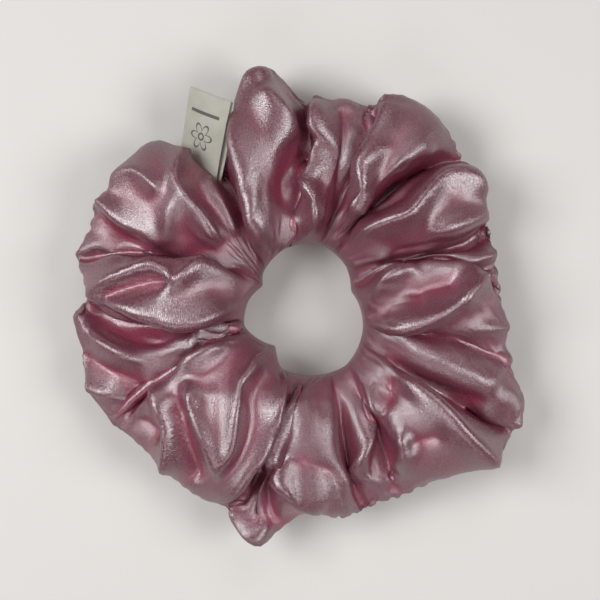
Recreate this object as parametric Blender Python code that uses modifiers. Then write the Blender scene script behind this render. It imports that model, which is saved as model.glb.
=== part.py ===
"""A gathered satin scrunchie: a cloth tube ruched on a lapped elastic band, with a folded ribbon label.

Metres, +Z up. The ring lies flat with its lowest face at z = 0 and the middle of its outline at the origin.
The cloth tube is made as two half rings that part along STRETCH_HEADING, which is how the elastic opens.
"""

import math

import bmesh
import bpy
from mathutils import Matrix, Vector

# Elastic band: knitted, standing on edge, its ends lapped.
ELASTIC_RADIUS = 0.0200
ELASTIC_WIDTH = 0.0060
ELASTIC_THICKNESS = 0.0010
ELASTIC_LAP = 0.0100
ELASTIC_JOIN_ANGLE = 150.0

# Cloth tube: how far it stands out of the elastic, how loosely it turns round it at the hole, and its puffs.
PUFF_REACH = 0.0360
HOLE_GATHER = 0.0020
PUFF_HEIGHT = 0.0250
PUFF_SWELL = 0.25
CLOTH_WALL = 0.0008
RING_STEPS = 108
TUBE_STEPS = 16

# The rim's puffs and valleys: (angle in degrees, millimetres past the mean reach).
RIM_PUFFS = (
    (-175.0, 2.5), (-165.0, 3.0), (-152.0, 1.5), (-136.0, -2.4), (-115.0, -1.3), (-108.0, -3.3),
    (-100.0, 3.0), (-92.0, -5.0), (-79.0, -2.0), (-66.0, -3.0), (-52.0, -1.0), (-40.0, 4.7),
    (-24.0, 5.5), (-17.0, -0.5), (-12.0, -4.0), (0.0, -4.7), (10.0, -6.0), (24.0, -3.0),
    (38.0, 1.0), (44.0, -0.5), (53.0, 4.0), (61.0, 5.2), (68.0, 4.7), (73.0, -5.0),
    (79.0, 0.0), (86.0, -3.0), (90.0, -5.0), (94.0, 1.0), (98.0, 7.0), (102.0, 4.5),
    (107.0, -4.0), (112.0, -14.0), (116.0, -19.5), (120.0, -19.5), (124.0, 2.5), (143.0, 3.0),
    (154.0, 3.4), (168.0, 2.8), (175.0, -0.6),
)
# The hole's edge: (angle in degrees, millimetres further from the centre than the mean gather).
HOLE_FOLDS = (
    (-166.0, 0.5), (-129.0, -3.6), (-112.0, 0.5), (-84.0, 1.3), (-53.0, 2.3), (-19.0, 0.6),
    (23.0, -2.2), (47.0, 0.4), (76.0, 2.3), (106.0, 1.4), (137.0, -1.0), (149.0, -2.5), (170.0, -0.8),
)

# Label: a ribbon folded over its tip, its two ends caught in the long seam.
LABEL_WIDTH = 0.0130
LABEL_LENGTH = 0.0198
LABEL_THICKNESS = 0.00025
LABEL_FOLD_RADIUS = 0.0004
LABEL_ROOT_ANGLE = 126.8
LABEL_ROOT_DROP = 0.0122
LABEL_ROOT_HEIGHT = 0.0140
LABEL_VALLEY_DEPTH = 0.0075
LABEL_VALLEY_SPREAD = 12.0
LABEL_SEAM_HEADING = 64.0
LABEL_SEAM_TILT = 32.8
LABEL_SWING = 27.2

# Sewing thread and the seams it makes.
THREAD_RADIUS = 0.00015
THREAD_CLEARANCE = 0.0003
STITCH_LENGTH = 0.0025
SEAM_ALLOWANCE = 0.0030
CLOSING_ANGLE = -32.0
CLOSING_LENGTH = 0.0200
CLOSING_WIDTH = 0.0012
END_JOIN_ANGLE = -12.0
ZIGZAG_STITCHES = 7
ZIGZAG_MARGIN = 0.0008

# The direction in which the ring opens, and the gap between the two half rings.
STRETCH_HEADING = -55.0
HALF_GAP = 0.0004

MM = 0.001
SATIN = (0.62, 0.27, 0.36, 1.0)
ELASTIC_WHITE = (0.86, 0.85, 0.82, 1.0)
RIBBON = (0.74, 0.74, 0.66, 1.0)
PINK_THREAD = (0.70, 0.36, 0.44, 1.0)
WHITE_THREAD = (0.88, 0.87, 0.84, 1.0)


# ---------------------------------------------------------------- helpers


def clear_scene():
    for obj in list(bpy.data.objects):
        bpy.data.objects.remove(obj, do_unlink=True)


def ease(share):
    share = max(0.0, min(1.0, share))
    return share * share * (3.0 - 2.0 * share)


def angle_between(degrees, other):
    return (degrees - other + 180.0) % 360.0 - 180.0


def around(points, degrees):
    """The value at an angle, eased between the two nearest (angle, value) points of a closed list."""
    for start, end in zip(points, points[1:] + points[:1]):
        span = (end[0] - start[0]) % 360.0
        past = (degrees - start[0]) % 360.0
        if past <= span:
            return start[1] + (end[1] - start[1]) * ease(past / span)
    return points[0][1]


def polar(radius, degrees, height=0.0):
    turn = math.radians(degrees)
    return Vector((radius * math.cos(turn), radius * math.sin(turn), height))


def material(name, colour, roughness):
    made = bpy.data.materials.new(name)
    made.use_nodes = True
    shader = made.node_tree.nodes["Principled BSDF"]
    shader.inputs["Base Color"].default_value = colour
    shader.inputs["Roughness"].default_value = roughness
    shader.inputs["Metallic"].default_value = 0.0
    return made


def settle(obj, surface, parent):
    """Puts an object in the scrunchie's collection, under the ring's centre, with its material."""
    for home in list(obj.users_collection):
        home.objects.unlink(obj)
    scrunchie.objects.link(obj)
    obj.parent = parent
    obj.data.materials.clear()
    obj.data.materials.append(surface)
    return obj


def thread(name, points, radius, closed=False):
    """A thread or wire: a round tube along points."""
    curve = bpy.data.curves.new(name, "CURVE")
    curve.dimensions = "3D"
    curve.bevel_depth = radius
    curve.bevel_resolution = 1
    curve.use_fill_caps = not closed
    spline = curve.splines.new("POLY")
    spline.points.add(len(points) - 1)
    for spot, place in zip(spline.points, points):
        spot.co = (*place, 1.0)
    spline.use_cyclic_u = closed
    return bpy.data.objects.new(name, curve)


def ribbon(name, outline, width, thickness):
    """A flat strip: an open outline in its own XY plane, as wide as width along Z."""
    curve = bpy.data.curves.new(name, "CURVE")
    curve.dimensions = "2D"
    curve.fill_mode = "NONE"
    curve.extrude = width / 2.0
    spline = curve.splines.new("POLY")
    spline.points.add(len(outline) - 1)
    for spot, (x, y) in zip(spline.points, outline):
        spot.co = (x, y, 0.0, 1.0)
    obj = bpy.data.objects.new(name, curve)
    shell = obj.modifiers.new("thickness", "SOLIDIFY")
    shell.thickness = thickness
    shell.offset = 0.0
    shell.use_even_offset = True
    return obj


# ---------------------------------------------------------------- the cloth tube's form


def label_root_radius():
    return ELASTIC_RADIUS + PUFF_REACH - LABEL_ROOT_DROP


def stitches_behind_label():
    """How far behind the label's root the middle of its stitches is."""
    return LABEL_THICKNESS + THREAD_CLEARANCE + 2.0 * THREAD_RADIUS


def label_seam_radius(degrees):
    """How far out the rim may come at an angle near the label: up to a straight seam behind its root."""
    behind = stitches_behind_label() + THREAD_RADIUS + THREAD_CLEARANCE
    root = label_root_radius() * math.cos(math.radians(LABEL_ROOT_ANGLE - LABEL_SEAM_HEADING))
    seam = (root - behind) / math.cos(math.radians(degrees - LABEL_SEAM_HEADING))
    return max(seam, label_root_radius() - LABEL_VALLEY_DEPTH)


def rim_radius(degrees):
    """How far the tube's outer edge is from the ring's centre."""
    puffs = ELASTIC_RADIUS + PUFF_REACH + around(RIM_PUFFS, degrees) * MM
    if abs(angle_between(degrees, LABEL_ROOT_ANGLE)) < LABEL_VALLEY_SPREAD:
        return min(puffs, label_seam_radius(degrees))
    return puffs


def hole_radius(degrees):
    """How far the tube's inner edge is from the ring's centre: room to turn round the standing elastic."""
    return ELASTIC_RADIUS - ELASTIC_WIDTH / 2.0 - HOLE_GATHER + around(HOLE_FOLDS, degrees) * MM


def crest_height(degrees):
    """How high the tube stands: the further a puff reaches, the higher it swells."""
    return PUFF_HEIGHT + PUFF_SWELL * (rim_radius(degrees) - ELASTIC_RADIUS - PUFF_REACH)


def tube_point(degrees, section, inset=0.0):
    """A point of the tube's wall. section is the angle round the tube: 0 at the rim, 90 on top."""
    low, high = hole_radius(degrees) + inset, rim_radius(degrees) - inset
    height = crest_height(degrees)
    turn = math.radians(section)
    lift = max(-1.0, 1.12 * math.sin(turn)) * (height / 2.0 - inset)
    return polar((low + high) / 2.0 + (high - low) / 2.0 * math.cos(turn), degrees, height / 2.0 + lift)


def mid_height(degrees):
    return crest_height(degrees) / 2.0


def half_ring(name, side):
    """Half of the gathered cloth tube, open at its two cut ends. side is 1 or -1 along the stretch."""
    bpy.ops.mesh.primitive_torus_add(
        major_segments=RING_STEPS, minor_segments=TUBE_STEPS, major_radius=1.0, minor_radius=0.25
    )
    obj = bpy.context.active_object
    obj.name = name
    for vertex in obj.data.vertices:
        x, y, z = vertex.co
        section = math.degrees(math.atan2(z, math.hypot(x, y) - 1.0))
        vertex.co = tube_point(math.degrees(math.atan2(y, x)), section)
    mesh = bmesh.new()
    mesh.from_mesh(obj.data)
    pull = polar(1.0, STRETCH_HEADING) * side
    bmesh.ops.bisect_plane(
        mesh,
        geom=mesh.verts[:] + mesh.edges[:] + mesh.faces[:],
        dist=1e-6,
        plane_co=pull * HALF_GAP / 2.0,
        plane_no=pull,
        clear_inner=True,
    )
    mesh.to_mesh(obj.data)
    mesh.free()
    obj.data.shade_smooth()
    wall = obj.modifiers.new("cloth wall", "SOLIDIFY")
    wall.thickness = CLOTH_WALL
    wall.offset = -1.0
    return obj


# ---------------------------------------------------------------- what the tube holds


def elastic_height():
    return PUFF_HEIGHT / 2.0


def elastic_spiral():
    """The band's outline from above: one turn, its last stretch lying outside its first."""
    lap_angle = math.degrees(ELASTIC_LAP / ELASTIC_RADIUS)
    steps = 72
    points = []
    for step in range(steps + 1):
        turned = step * (360.0 + lap_angle) / steps
        outward = (ELASTIC_THICKNESS + THREAD_CLEARANCE) * ease((turned - 360.0 + lap_angle) / lap_angle)
        spot = polar(ELASTIC_RADIUS + outward, ELASTIC_JOIN_ANGLE - lap_angle / 2.0 + turned)
        points.append((spot.x, spot.y))
    return points


def elastic_band():
    band = ribbon("elastic_band", elastic_spiral(), ELASTIC_WIDTH, ELASTIC_THICKNESS)
    band.location.z = elastic_height()
    return band


def elastic_lap_stitches():
    """Zigzag stitches over the lap, on its outer face."""
    radius = ELASTIC_RADIUS + 1.5 * ELASTIC_THICKNESS + 2.0 * THREAD_CLEARANCE + THREAD_RADIUS
    half_width = ELASTIC_WIDTH / 2.0 - ZIGZAG_MARGIN
    span = math.degrees((ELASTIC_LAP - 2.0 * ZIGZAG_MARGIN) / ELASTIC_RADIUS)
    points = []
    for step in range(2 * ZIGZAG_STITCHES + 1):
        turned = ELASTIC_JOIN_ANGLE + span * (step / (2.0 * ZIGZAG_STITCHES) - 0.5)
        side = half_width if step % 2 else -half_width
        points.append(polar(radius, turned, elastic_height() + side))
    return thread("elastic_lap_stitches", points, THREAD_RADIUS)


def tube_seam_thread():
    """The long seam's thread, a seam allowance inside the rim, all the way round."""
    steps = 144
    points = []
    for step in range(steps):
        degrees = step * 360.0 / steps
        nearby = min(rim_radius(degrees + turn) for turn in (-5.0, -2.5, 0.0, 2.5, 5.0))
        points.append(polar(nearby - CLOTH_WALL - SEAM_ALLOWANCE, degrees, mid_height(degrees)))
    return thread("tube_seam_thread", points, THREAD_RADIUS, closed=True)


def end_join_thread():
    """The thread that joins the cloth tube's two ends, round the inside of the tube's own facets."""
    inset = CLOTH_WALL + THREAD_RADIUS + THREAD_CLEARANCE
    points = [tube_point(END_JOIN_ANGLE, 360.0 * step / TUBE_STEPS, inset) for step in range(TUBE_STEPS)]
    for point in points:
        point.z = max(point.z, inset)
    return thread("end_join_thread", points, THREAD_RADIUS, closed=True)


def closing_stitches():
    """The row of slip stitches that closes the turning gap, laced up and down along the rim."""
    count = round(CLOSING_LENGTH / STITCH_LENGTH)
    reach = rim_radius(CLOSING_ANGLE)
    points = []
    for step in range(2 * count + 1):
        along = CLOSING_LENGTH * (step / (2.0 * count) - 0.5)
        degrees = CLOSING_ANGLE + math.degrees(along / reach)
        side = CLOSING_WIDTH / 2.0 if step % 2 else -CLOSING_WIDTH / 2.0
        clear = rim_radius(degrees) + THREAD_RADIUS + THREAD_CLEARANCE
        points.append(polar(clear, degrees, mid_height(degrees) + side))
    return thread("closing_stitches", points, THREAD_RADIUS)


# ---------------------------------------------------------------- the label


def label_frame():
    """The label's own axes, X along it, Y its normal and Z its width, at the middle of its root."""
    heading, tilt, swing = (math.radians(v) for v in (LABEL_SEAM_HEADING, LABEL_SEAM_TILT, LABEL_SWING))
    outward = Vector((math.cos(heading), math.sin(heading), 0.0))
    level = Vector((math.sin(heading), -math.cos(heading), 0.0))
    width = level * math.cos(tilt) + Vector((0.0, 0.0, 1.0)) * math.sin(tilt)
    length = outward * math.cos(swing) + width.cross(outward) * math.sin(swing)
    turn = Matrix((length, width.cross(length), width)).transposed().to_4x4()
    return Matrix.Translation(polar(label_root_radius(), LABEL_ROOT_ANGLE, LABEL_ROOT_HEIGHT)) @ turn


def label():
    """The folded ribbon: up one side, round the fold at the tip, and back down the other."""
    straight = LABEL_LENGTH - LABEL_FOLD_RADIUS
    outline = [(LABEL_THICKNESS, -LABEL_FOLD_RADIUS)]
    fold_steps = 6
    for step in range(fold_steps + 1):
        turn = math.pi * (step / fold_steps - 0.5)
        outline.append((
            straight + LABEL_FOLD_RADIUS * math.cos(turn), LABEL_FOLD_RADIUS * math.sin(turn)
        ))
    outline.append((LABEL_THICKNESS, LABEL_FOLD_RADIUS))
    obj = ribbon("label", outline, LABEL_WIDTH, LABEL_THICKNESS)
    obj.matrix_local = label_frame()
    return obj


def label_stitches():
    """The few stitches of the long seam that hold the label, just behind its root."""
    count = round(LABEL_WIDTH / STITCH_LENGTH)
    points = []
    for step in range(2 * count + 1):
        across = LABEL_WIDTH * (step / (2.0 * count) - 0.5)
        side = THREAD_RADIUS if step % 2 else -THREAD_RADIUS
        points.append(Vector((-stitches_behind_label(), side, across)))
    obj = thread("label_stitches", points, THREAD_RADIUS)
    obj.matrix_local = label_frame()
    return obj


# ---------------------------------------------------------------- assembly


def outline_middle():
    """The middle of the box round the rim, from the ring's centre."""
    spots = [polar(rim_radius(step), step) for step in range(360)]
    xs, ys = [spot.x for spot in spots], [spot.y for spot in spots]
    return Vector(((min(xs) + max(xs)) / 2.0, (min(ys) + max(ys)) / 2.0, 0.0))


clear_scene()
scrunchie = bpy.data.collections.new("scrunchie")
bpy.context.scene.collection.children.link(scrunchie)
ring_centre = bpy.data.objects.new("ring_centre", None)
ring_centre.location = -outline_middle()
scrunchie.objects.link(ring_centre)

satin = material("satin", SATIN, 0.3)
elastic_knit = material("elastic_knit", ELASTIC_WHITE, 0.8)
label_ribbon = material("label_ribbon", RIBBON, 0.7)
pink_thread = material("pink_thread", PINK_THREAD, 0.5)
white_thread = material("white_thread", WHITE_THREAD, 0.6)

settle(half_ring("cover_label_half", -1.0), satin, ring_centre)
settle(half_ring("cover_closing_half", 1.0), satin, ring_centre)
settle(elastic_band(), elastic_knit, ring_centre)
settle(elastic_lap_stitches(), white_thread, ring_centre)
settle(tube_seam_thread(), pink_thread, ring_centre)
settle(end_join_thread(), pink_thread, ring_centre)
settle(closing_stitches(), pink_thread, ring_centre)
settle(label(), label_ribbon, ring_centre)
settle(label_stitches(), pink_thread, ring_centre)
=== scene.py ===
"""The scrunchie's looks: satin gathered on its elastic, its folded label, and the threads that hold them.

Lengths are in millimetres from the ring's middle where a name ends in _MM, and otherwise in metres.
"""

import math

import bpy
import numpy as np
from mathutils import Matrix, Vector


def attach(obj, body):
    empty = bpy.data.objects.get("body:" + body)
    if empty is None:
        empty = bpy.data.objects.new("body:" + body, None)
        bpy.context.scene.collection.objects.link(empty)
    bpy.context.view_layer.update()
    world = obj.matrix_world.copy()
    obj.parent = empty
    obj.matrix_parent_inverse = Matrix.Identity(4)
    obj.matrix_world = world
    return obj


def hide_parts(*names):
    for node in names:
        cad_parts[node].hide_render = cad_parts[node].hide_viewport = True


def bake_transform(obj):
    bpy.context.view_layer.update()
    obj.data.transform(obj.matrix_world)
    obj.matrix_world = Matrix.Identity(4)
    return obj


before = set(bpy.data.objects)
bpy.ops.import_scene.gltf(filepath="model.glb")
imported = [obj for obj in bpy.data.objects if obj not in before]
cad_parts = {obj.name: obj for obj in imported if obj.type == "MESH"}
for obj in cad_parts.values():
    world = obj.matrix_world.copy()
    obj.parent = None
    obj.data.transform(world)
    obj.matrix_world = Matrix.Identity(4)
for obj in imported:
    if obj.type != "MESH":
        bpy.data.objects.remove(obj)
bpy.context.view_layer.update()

MM = 0.001

# The ring's middle, as the CAD has it.
RING_MIDDLE = Vector((0.000986, -0.002142, 0.0))

# The satin tube: its cut strip, and the grid of its cloth (columns along it, rows round it).
STRIP_CUT = (0.100, 0.420)
COLUMNS = 222
UPPER_ROWS = 36
UNDER_ROWS = 20
ROWS = UPPER_ROWS + UNDER_ROWS
CLOTH_THICKNESS = 0.0002

# The gathered form: the level of the tube's middle and rim, its valleys at the hole, half way out and at
# the rim, the hollows under it, and how square a puff's arch is where it is free and where it is tucked.
HEART_HEIGHT_MM = 11.0
VALLEY_HEIGHT_MM = (21.0, 14.0, 11.0)
HOLLOW_UNDER_MM = 7.0
LOWER_ROUNDNESS = 1.15
ARCH_POWER = 0.45
TUCKED_POWER = 1.4
TUCK_OVERLAP_MM = 3.0
HALF_WAY_OUT = 0.45
LEAN_SHARE = 0.45

# The folds: how strongly ridges and creases stand, how wide and how round they are, and where they fade.
RIDGE_STRENGTH = 2.1
CREASE_STRENGTH = 1.6
FOLD_REACH = 1.2
CREST_ROUNDING_MM = 0.5
FOLD_END_SHARE = 0.25
FOLD_END_HEIGHT = 0.1
RUN_ON_SHARE = 0.72
RUN_ON_MM = 3.5
CREASE_FADE_MM = (22.0, 28.0)

# The folds are laid out as they look from above: this far over the rim's level, which is true to size.
RIM_LEVEL = 0.011
EYE_HEIGHT = 0.36

# One gathered puff after another, anticlockwise: its name, the angles of the valley before it at the
# hole, half way out and at the rim, how far it lies over the puff before it (or under, where negative),
# its height, and its share of the cloth.
PUFFS = (
    ("right", (-12, -10, -16), 0.6, 24.5, 20),
    ("right_sliver", (21, 26, 6), -1.5, 18, 8),
    ("right_upper", (42, 28, 25), 3.0, 25, 15),
    ("top_right", (62, 55, 44), -2.5, 26, 18),
    ("top_narrow", (77, 68.5, 71), -2.0, 23, 13),
    ("top_spire", (105, 89, 91.5), -1.5, 27, 17),
    ("left_upper", (134, 121.5, 120), -1.2, 25, 27),
    ("left_spindle", (149, 158, 167), 3.0, 26, 13),
    ("left", (188, 184.5, 177.5), -4.0, 20, 16),
    ("left_lower", (198, 205, 212), 3.5, 26, 25),
    ("bottom_spire", (252, 255, 249.5), -2.0, 21, 8),
    ("bottom", (277, 259.5, 266.5), 1.0, 25, 14),
    ("bottom_sliver", (293.5, 287, 286.5), -1.5, 20, 8),
    ("right_lower", (309, 303, 297), 1.5, 25, 17),
    ("right_wedge", (332, 328, 330), -1.5, 22.5, 12),
)
RIM_MM = (
    (-175, 58.5), (-165, 59), (-152, 57.5), (-136, 53.6), (-115, 54.7), (-110, 52), (-106, 57.5),
    (-100, 59.5), (-95.5, 57), (-91.5, 50), (-79, 54), (-66, 53), (-52, 55), (-40, 60.7), (-25, 61.5),
    (-22, 61), (-17, 55.4),
    (-12, 51.7), (0, 51.3), (10, 50), (24, 53), (32, 54.9), (38, 57), (44, 55.5), (53, 59.8),
    (61, 61.2), (68, 60.7), (70.5, 50), (74, 54.5), (79, 56), (86, 53), (90, 50.8), (93, 57),
    (99, 63), (104, 61), (109.5, 53), (115, 44), (122, 39.9), (126, 51.6), (131, 58.5), (143, 58.9),
    (154, 59.4), (168, 58.8), (175, 55.4),
)
HOLE_MM = (
    (-166, 15.5), (-129, 11.2), (-112, 15.5), (-84, 16.3), (-53, 17.3), (-19, 15.6), (23, 12.8),
    (47, 15.4), (76, 17.3), (106, 16.4), (137, 14), (149, 12), (170, 14.2),
)

# The folds on the upper side, each along points from its start: (height, reach to its left, reach to its
# right, points). A negative height is a crease.
FOLDS_MM = (
    # left_upper
    (2.0, 2.2, 3.0, ((-29.7, 41), (-32.2, 34), (-30.4, 29), (-26, 23.8), (-22.5, 18.8), (-21, 14.5))),
    (1.4, 3.0, 2.5, ((-30.5, 30), (-33.5, 25), (-34, 19.5), (-29.7, 14.5), (-24, 12.5))),
    (2.0, 2.2, 3.5, ((-51, 27.5), (-46, 23.5), (-39, 21), (-35.5, 18.5), (-30, 14))),
    (1.5, 3.5, 2.0, ((-48, 33), (-42, 34.5), (-37, 31))),
    (-1.8, 2.5, 2.5, ((-50, 23), (-44, 17.5), (-37, 15))),
    (1.4, 2.5, 2.0, ((-57, 12), (-52, 17), (-47, 14.5), (-38, 14.5), (-31, 12.5))),
    (1.4, 2.5, 2.0, ((-24, 31), (-20, 23), (-17, 17))),
    # the fold between left_upper and top_spire
    (1.6, 1.5, 1.8, ((-19.5, 41), (-17.8, 35), (-15.5, 28), (-13.8, 22), (-12, 15))),
    # left_spindle
    (2.0, 2.0, 2.5, (
        (-53, 5), (-46.5, 8.5), (-39, 11), (-33.3, 8),
        (-29.5, 9.8), (-24.6, 12.6), (-17.5, 12.3), (-12, 10),
    )),
    (-2.6, 1.4, 1.5, ((-50, 4), (-43, 6.6), (-36, 8), (-33, 6))),
    (2.0, 4.0, 1.2, ((-53, 4), (-47.8, 2), (-40.5, -0.8), (-31.9, -2.6), (-23.2, -0.8), (-14.5, 4.3))),
    # top_spire
    (2.2, 2.0, 3.5, (
        (-9, 59), (-14.5, 56), (-16.7, 47), (-14.5, 36), (-12.7, 27.5), (-11.7, 18.8), (-12.4, 11.6),
    )),
    (1.6, 2.5, 2.5, ((-9.5, 54), (-5, 49), (-2.5, 45))),
    (-2.6, 3.5, 2.5, ((3.5, 42), (-1, 38), (-3.5, 33), (-6, 25))),
    (1.5, 2.5, 2.0, ((-2, 26), (-4, 20), (-8, 14))),
    # top_narrow
    (3.2, 1.5, 2.0, ((4.3, 52), (4.8, 46), (3.6, 40), (1.6, 33), (3.2, 28), (1.5, 22), (-1, 18.5))),
    (-2.0, 2.0, 2.0, ((10.5, 50), (10.3, 42), (9.5, 34), (9.2, 27), (7, 21))),
    (1.9, 2.4, 1.4, ((15, 50), (15.8, 43), (14.2, 36), (11.5, 28))),
    # top_right
    (3.0, 1.5, 4.0, (
        (23.1, 56), (21, 50.6), (18.8, 44.8), (17.4, 39),
        (15.9, 34.7), (15.5, 29.6), (11.6, 24.6), (9.5, 19),
    )),
    (1.7, 2.5, 2.0, ((31, 40), (25.3, 36.1), (21, 31), (15.9, 26), (10.9, 21.7))),
    (-2.2, 1.8, 1.8, ((26, 33.5), (19.5, 29.6), (15, 25.2))),
    (-1.6, 1.8, 1.5, ((41.2, 38), (34.7, 37), (30.4, 34), (24.6, 29.8), (18, 24.8), (12.5, 21.5))),
    # right_upper
    (2.2, 2.0, 4.5, (
        (45, 29.5), (40.5, 33.2), (34.7, 33.2), (30.4, 28.9),
        (26.7, 24.6), (20.2, 22.4), (15.2, 19.5), (11.6, 15.2),
    )),
    (1.3, 3.5, 3.0, ((46, 24), (38, 21.5), (30, 19))),
    (-2.4, 1.8, 1.5, ((45.5, 20), (40, 16.5), (30, 14.8), (24, 13.4), (18.5, 11.4))),
    # right_sliver
    (1.6, 1.5, 1.5, ((47.2, 14.4), (43, 13.4), (37, 14.2), (30.4, 14), (21.7, 11.4), (12.3, 8.5))),
    # right
    (2.3, 1.8, 2.5, (
        (37.6, 2.2), (41, 6), (41.2, 10.1), (37.6, 11.9),
        (30.4, 11.5), (23.1, 8.5), (18.8, 4.3), (15, -2.5),
    )),
    (-1.8, 4.0, 4.0, ((36, 7), (30, 6), (24, 2))),
    (2.4, 3.5, 1.8, ((46, 9), (43, 7), (40, 4), (35, 0.6), (27.8, -1.9), (21, -3.2), (15, -3.4))),
    (1.3, 3.0, 3.5, ((50, -4), (44, -4), (38, -3.5))),
    # right_wedge
    (1.9, 3.2, 3.2, ((49, -13), (43, -10.2), (37.2, -8.2), (28, -6.4))),
    (0.8, 4.5, 4.5, ((46, -18), (38, -14), (29, -10.5), (22, -7.6))),
    (-2.6, 1.8, 1.2, (
        (44, -22.4), (38.6, -21.8), (35.2, -20.9), (31.4, -18.9), (27, -16.2), (21.3, -12.4), (15.5, -8),
    )),
    (1.5, 1.6, 2.4, ((56, -27.8), (51, -27), (46.5, -25.6), (43, -23.4), (38, -22.6))),
    # right_lower
    (2.8, 2.4, 3.8, (
        (48, -38.5), (43.7, -34.8), (38.4, -30.4), (34.3, -26.1), (29.2, -21), (23.5, -15.3), (18, -10),
    )),
    (-2.2, 1.8, 2.2, ((17.5, -40), (17.7, -33.3), (19.5, -26.1), (21.5, -19), (20.5, -13))),
    (-0.9, 1.2, 1.2, ((28.5, -33.2), (32, -32))),
    # bottom_sliver
    (1.6, 1.4, 1.6, ((22.5, -41), (25.2, -36), (24.8, -32.2), (21.5, -31.2))),
    # bottom
    (2.2, 1.6, 4.0, ((11.2, -42), (14.8, -37), (17, -30.4), (17, -24.7), (14.1, -18.2))),
    (2.4, 3.5, 2.0, (
        (4, -17), (-1, -21.5), (-4.5, -26.5), (-7, -32), (-8.2, -37), (-5, -43), (2.8, -49),
    )),
    (-1.4, 3.0, 3.0, ((-2, -38), (6, -40.5), (13, -43), (18, -47))),
    # bottom_spire
    (2.2, 1.6, 1.6, ((-11, -56.5), (-15, -53), (-16.2, -48), (-14.2, -42), (-11.7, -37.5))),
    (-2.2, 1.6, 1.6, ((-12.2, -52), (-12.8, -46), (-10.8, -40.5))),
    # left_lower
    (2.3, 1.6, 5.0, (
        (-13.5, -4.5), (-20.3, -9.2), (-26.1, -13), (-32.6, -15.4),
        (-36.9, -18.2), (-42, -23.2), (-46, -26.5),
    )),
    (2.6, 2.6, 1.5, (
        (-5, -12), (-6.6, -18), (-8.8, -24), (-9.8, -29.7), (-12.4, -34.7), (-16, -39.8), (-20, -46.5),
    )),
    (2.2, 1.8, 3.0, (
        (-7.3, -9), (-11.7, -11.6), (-14.5, -15.9), (-16.9, -20.3),
        (-17.6, -26.8), (-18.4, -33.3), (-21, -38.3),
    )),
    (2.0, 3.2, 1.6, (
        (-27.5, -15), (-28.6, -20), (-28.2, -24.5), (-26.1, -29.5), (-23.9, -34.5), (-21.8, -40),
    )),
    (0.9, 4.0, 4.0, ((-21, -16), (-22.3, -22), (-22.3, -28), (-21.8, -34))),
    (-2.0, 2.0, 2.0, ((-31.8, -19), (-31.5, -26), (-30, -33), (-27.5, -41))),
    (2.2, 1.8, 2.0, (
        (-37, -14), (-36.9, -18), (-35.8, -23.9), (-34, -29.4), (-33.6, -35.4), (-34.4, -40),
    )),
    (-1.8, 2.0, 2.0, ((-41, -28), (-38, -30.5))),
    # left
    (2.0, 2.2, 2.8, ((-57, 1), (-55, -2), (-51.4, -7.3), (-44.9, -11), (-37, -13.4))),
    (1.4, 1.6, 1.8, ((-55, -18.4), (-48.5, -20.3), (-41, -20.5))),
    (-1.8, 3.0, 3.0, ((-51, -2), (-44, -5.5), (-37, -7.5), (-31, -6.5))),
    (-1.6, 2.2, 2.2, ((-54.5, -12), (-49, -15.5), (-43, -17.5))),
    (1.5, 1.2, 1.2, ((-30.5, -11), (-28.3, -8), (-26.1, -5), (-21.8, -4.2), (-17, -3))),
    (1.5, 1.0, 1.0, ((-15, -1.5), (-19.8, -5.4), (-24, -9), (-29, -11))),
)

# The seam round the rim: its thread, and the little puckers that it pulls.
SEAM_ALLOWANCE = 0.0022
PUCKER_SPACING = 0.0034
PUCKER_HEIGHT = 0.0004
PUCKER_REACH = 0.0035
GROOVE_DEPTH = 0.0004
GROOVE_REACH = 0.0008
THREAD_RADIUS = 0.00015
STITCH_LENGTH = 0.0025
PLIES_SCALE = 900.0

# The elastic inside, and where its ends lap.
ELASTIC_RADIUS = 0.0200
ELASTIC_WIDTH = 0.0060
ELASTIC_THICKNESS = 0.0010
ELASTIC_LEVEL = 0.0125
ELASTIC_JOIN_ANGLE = 150.0
ELASTIC_LAP = 0.0100
ELASTIC_RIB = 0.00008
LAP_GAP = 0.0003
ZIGZAG_STEPS = 15
ZIGZAG_HALF_WIDTH = 0.0022

# The joins: across the tube, and the last stretch of the seam, which is closed by hand.
END_JOIN_ANGLE = -12.0
END_JOIN_INSET = 0.0012
CLOSING_ANGLE = -32.0
CLOSING_LENGTH = 0.0200
CLOSING_SLANT = 0.0007
CLOSING_HALF_HEIGHT = 0.0013
CLOSING_LIFT = 0.0004
CLOSING_DIP = 0.0011

# The label: a folded ribbon on a seam. Its length, width and face are the ways that it lies.
LABEL_ROOT = Vector((-0.025251, 0.03293, 0.014))
LABEL_ALONG = Vector((0.16734, 0.90795, 0.38422))
LABEL_FACE = Vector((-0.63342, -0.19963, 0.74761))
LABEL_ACROSS = Vector((0.7555, -0.36848, 0.54171))
LABEL_WIDTH = 0.0130
LABEL_LENGTH = 0.0198
LABEL_SEWN_IN = 0.0015
LABEL_THICKNESS = 0.00025
LABEL_FOLD_RADIUS = 0.0004
LABEL_BOW = 0.0007
LABEL_CURL = 0.0009
LABEL_SPREAD = 0.0007
LABEL_SKEW = 0.0008

# The label's print, in millimetres across and up the ribbon from the flower's middle.
PRINT_SIZE_MM = (13.0, 42.0)
PRINT_MIDDLE = (0.5, 0.245)
RULE_ACROSS_MM = (-4.6, 4.4)
RULE_UP_MM = (5.3, 6.1)
PETAL_INNER_MM = 1.5
PETAL_LENGTH_MM = 1.9
PETAL_LINE_MM = (-0.40, 0.12)
FLOWER_EYE_MM = (0.55, 1.0)
INK_STRENGTH = 0.85

# How deep a fold has to be, from a ridge to the bottom of a crease, to show the satin's full painted
# crimson glow, which stands in for light bounced between the folds.
PAINTED_GLOW_DEPTH = 0.0024
PAINTED_GLOW_PASSES = 60

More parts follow.
